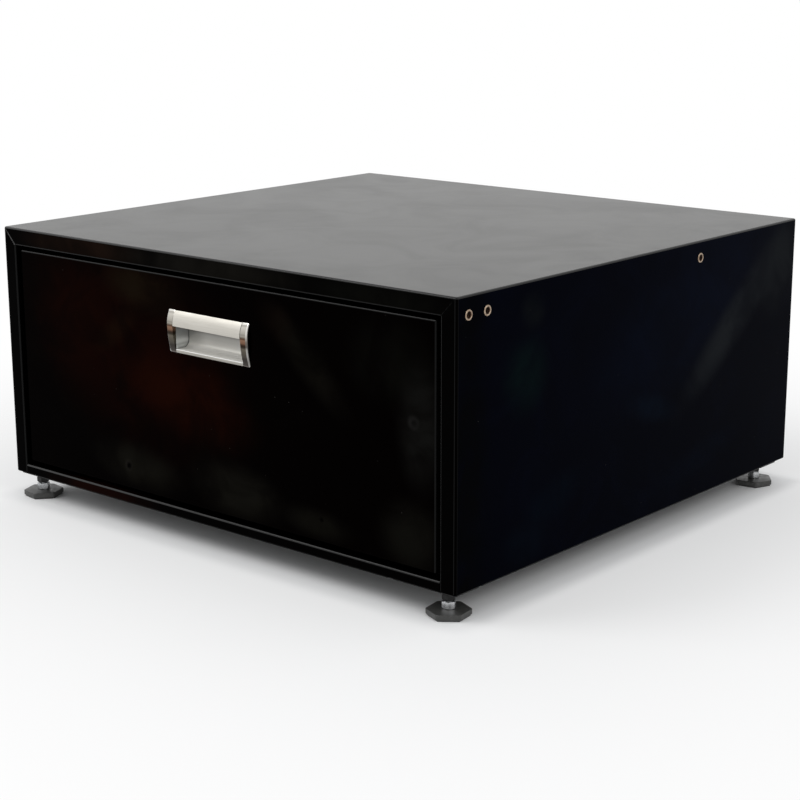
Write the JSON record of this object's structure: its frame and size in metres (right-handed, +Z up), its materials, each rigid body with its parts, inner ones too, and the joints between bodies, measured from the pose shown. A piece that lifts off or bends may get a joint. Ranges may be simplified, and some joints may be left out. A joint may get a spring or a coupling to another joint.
{
  "type": "washer pedestal drawer",
  "caption": "Low steel pedestal for a washing machine, with one drawer on ball-bearing slides, a recessed pull and levelling feet.",
  "frame": {"origin": "on the floor, at the centre of the cabinet's plan", "axes": "+X to the right of someone facing the drawer, +Y to the back, +Z up"},
  "size_m": [0.6878, 0.6554, 0.33],
  "materials": {
    "black_paint": "glossy black coat",
    "zinc": "bright zinc plate",
    "zinc_sheet": "zinc-plated sheet",
    "cage_steel": "dull steel strip",
    "ball_steel": "polished steel",
    "yellow_zinc": "yellow zinc plate",
    "satin_aluminium": "satin",
    "polished_cap": "mirror-polished plate",
    "rubber": "matt",
    "foot_plastic": "moulded, faint sheen"
  },
  "bodies": {
    "cabinet": {"top_sheet": "black_paint", "left_side_sheet": "black_paint", "right_side_sheet": "black_paint", "bottom_front_rail": "black_paint", "bottom_rear_rail": "black_paint", "bottom_panel": "black_paint", "back_panel": "black_paint", "front_left_post": "black_paint", "front_right_post": "black_paint", "rear_left_post": "black_paint", "rear_right_post": "black_paint", "top_ribs": "black_paint", "left_slide_support": "black_paint", "right_slide_support": "black_paint", "front_left_bracket": "black_paint", "front_right_bracket": "black_paint", "rear_left_bracket": "black_paint", "rear_right_bracket": "black_paint", "foot_weld_nuts": "black_paint", "side_rivet_nuts": "yellow_zinc", "back_panel_screws": "zinc", "slide_mount_screws": "zinc", "slide_stops": "rubber", "left_slide_outer": "zinc_sheet", "right_slide_outer": "zinc_sheet"},
    "drawer": {"left_slide_inner": "zinc_sheet", "right_slide_inner": "zinc_sheet", "drawer_front_skin": "black_paint", "drawer_front_liner": "black_paint", "drawer_tray": "black_paint", "drawer_back": "black_paint", "drawer_front_screws": "zinc", "drawer_back_screws": "zinc", "drawer_slide_screws": "zinc", "handle_body": "satin_aluminium", "handle_left_cap": "polished_cap", "handle_right_cap": "polished_cap", "handle_screws": "zinc"},
    "left_middle_member": {"left_slide_middle": "zinc_sheet"},
    "left_outer_ball_cage": {"left_outer_cage": "cage_steel", "left_outer_balls": "ball_steel"},
    "left_inner_ball_cage": {"left_inner_cage": "cage_steel", "left_inner_balls": "ball_steel"},
    "right_middle_member": {"right_slide_middle": "zinc_sheet"},
    "right_outer_ball_cage": {"right_outer_cage": "cage_steel", "right_outer_balls": "ball_steel"},
    "right_inner_ball_cage": {"right_inner_cage": "cage_steel", "right_inner_balls": "ball_steel"},
    "front_left_foot": {"front_left_foot_base": "foot_plastic", "front_left_foot_pad": "rubber"},
    "front_left_stud": {"front_left_foot_stud": "zinc"},
    "front_right_foot": {"front_right_foot_base": "foot_plastic", "front_right_foot_pad": "rubber"},
    "front_right_stud": {"front_right_foot_stud": "zinc"},
    "rear_left_foot": {"rear_left_foot_base": "foot_plastic", "rear_left_foot_pad": "rubber"},
    "rear_left_stud": {"rear_left_foot_stud": "zinc"},
    "rear_right_foot": {"rear_right_foot_base": "foot_plastic", "rear_right_foot_pad": "rubber"},
    "rear_right_stud": {"rear_right_foot_stud": "zinc"}
  },
  "joints": [
    {"name": "drawer_slide", "type": "slide", "parent": "cabinet", "child": "drawer", "axis": [0, -1, 0], "range_m": [0, 0.5]},
    {"name": "left_middle_member_slide", "type": "slide", "parent": "cabinet", "child": "left_middle_member", "axis": [0, -1, 0], "range_m": [0, 0.25]},
    {"name": "left_outer_ball_cage_slide", "type": "slide", "parent": "cabinet", "child": "left_outer_ball_cage", "axis": [0, -1, 0], "range_m": [0, 0.125]},
    {"name": "left_inner_ball_cage_slide", "type": "slide", "parent": "cabinet", "child": "left_inner_ball_cage", "axis": [0, -1, 0], "range_m": [0, 0.375]},
    {"name": "right_middle_member_slide", "type": "slide", "parent": "cabinet", "child": "right_middle_member", "axis": [0, -1, 0], "range_m": [0, 0.25]},
    {"name": "right_outer_ball_cage_slide", "type": "slide", "parent": "cabinet", "child": "right_outer_ball_cage", "axis": [0, -1, 0], "range_m": [0, 0.125]},
    {"name": "right_inner_ball_cage_slide", "type": "slide", "parent": "cabinet", "child": "right_inner_ball_cage", "axis": [0, -1, 0], "range_m": [0, 0.375]},
    {"name": "front_left_foot_height", "type": "slide", "parent": "cabinet", "child": "front_left_foot", "axis": [0, 0, -1], "range_m": [0, 0.014]},
    {"name": "front_left_stud_turn", "type": "hinge", "parent": "front_left_foot", "child": "front_left_stud", "pos_m": [-0.3185, -0.305, 0.012], "axis": [0, 0, -1], "range_deg": [0, 4035]},
    {"name": "front_right_foot_height", "type": "slide", "parent": "cabinet", "child": "front_right_foot", "axis": [0, 0, -1], "range_m": [0, 0.014]},
    {"name": "front_right_stud_turn", "type": "hinge", "parent": "front_right_foot", "child": "front_right_stud", "pos_m": [0.3185, -0.305, 0.012], "axis": [0, 0, -1], "range_deg": [0, 4035]},
    {"name": "rear_left_foot_height", "type": "slide", "parent": "cabinet", "child": "rear_left_foot", "axis": [0, 0, -1], "range_m": [0, 0.014]},
    {"name": "rear_left_stud_turn", "type": "hinge", "parent": "rear_left_foot", "child": "rear_left_stud", "pos_m": [-0.3185, 0.294, 0.012], "axis": [0, 0, -1], "range_deg": [0, 4035]},
    {"name": "rear_right_foot_height", "type": "slide", "parent": "cabinet", "child": "rear_right_foot", "axis": [0, 0, -1], "range_m": [0, 0.014]},
    {"name": "rear_right_stud_turn", "type": "hinge", "parent": "rear_right_foot", "child": "rear_right_stud", "pos_m": [0.3185, 0.294, 0.012], "axis": [0, 0, -1], "range_deg": [0, 4035]}
  ],
  "couplings": [
    {"joint": "left_middle_member_slide", "follows": "drawer_slide", "ratio": 0.5},
    {"joint": "left_outer_ball_cage_slide", "follows": "drawer_slide", "ratio": 0.25},
    {"joint": "left_inner_ball_cage_slide", "follows": "drawer_slide", "ratio": 0.75},
    {"joint": "right_middle_member_slide", "follows": "drawer_slide", "ratio": 0.5},
    {"joint": "right_outer_ball_cage_slide", "follows": "drawer_slide", "ratio": 0.25},
    {"joint": "right_inner_ball_cage_slide", "follows": "drawer_slide", "ratio": 0.75},
    {"joint": "front_left_stud_turn", "follows": "front_left_foot_height", "rad_per_m": 5026.5},
    {"joint": "front_right_stud_turn", "follows": "front_right_foot_height", "rad_per_m": 5026.5},
    {"joint": "rear_left_stud_turn", "follows": "rear_left_foot_height", "rad_per_m": 5026.5},
    {"joint": "rear_right_stud_turn", "follows": "rear_right_foot_height", "rad_per_m": 5026.5}
  ]
}
